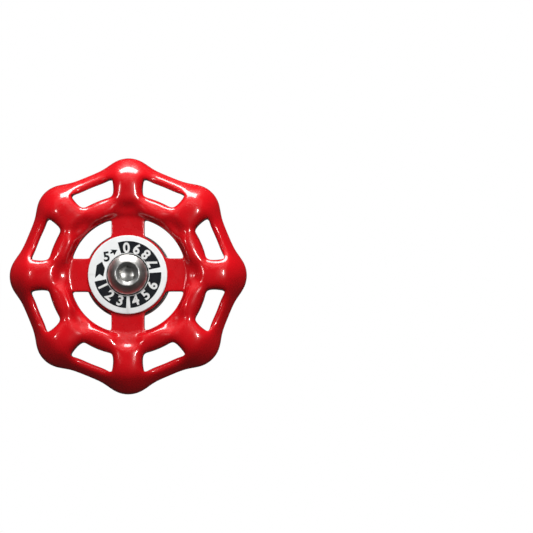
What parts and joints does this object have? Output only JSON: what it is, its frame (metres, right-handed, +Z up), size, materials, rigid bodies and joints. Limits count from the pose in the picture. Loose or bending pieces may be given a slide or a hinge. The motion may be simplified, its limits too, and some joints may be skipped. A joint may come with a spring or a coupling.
{
  "type": "valve handwheel",
  "caption": "Lobed round valve handwheel with open windows, flat spokes, a round nameplate and a button-head retaining screw, on a square drive bush.",
  "frame": {"origin": "middle of the square socket's mouth, in the plane of the hub's back face", "axes": "+Y along the wheel's axis out of the back, towards the valve; the front with its nameplate looks along -Y; +Z up through one spoke and one lobe; +X to the right as seen from the front"},
  "size_m": [0.063, 0.0141, 0.063],
  "materials": {
    "red_enamel": "thick glossy red enamel over a casting",
    "dark_steel": "oiled black-oxide steel, turned",
    "plate_white": "satin white printed aluminium sheet",
    "plate_print": "black screen-printed ink",
    "adhesive": "cloudy acrylic adhesive film",
    "washer_steel": "plain spring steel",
    "stainless": "polished stainless steel"
  },
  "bodies": {
    "wheel": {"handwheel": "red_enamel", "drive_bush": "dark_steel", "nameplate": "plate_white", "nameplate_adhesive": "adhesive"},
    "washer": {"lock_washer": "washer_steel"},
    "screw": {"cap_screw": "stainless"}
  },
  "joints": [
    {"name": "screw_withdraw", "type": "slide", "parent": "wheel", "child": "washer", "axis": [0, -1, 0], "range_m": [0, 0.02]},
    {"name": "screw_turn", "type": "hinge", "parent": "washer", "child": "screw", "pos_m": [0, -0.0108, 0], "axis": [0, -1, 0], "continuous": true}
  ]
}
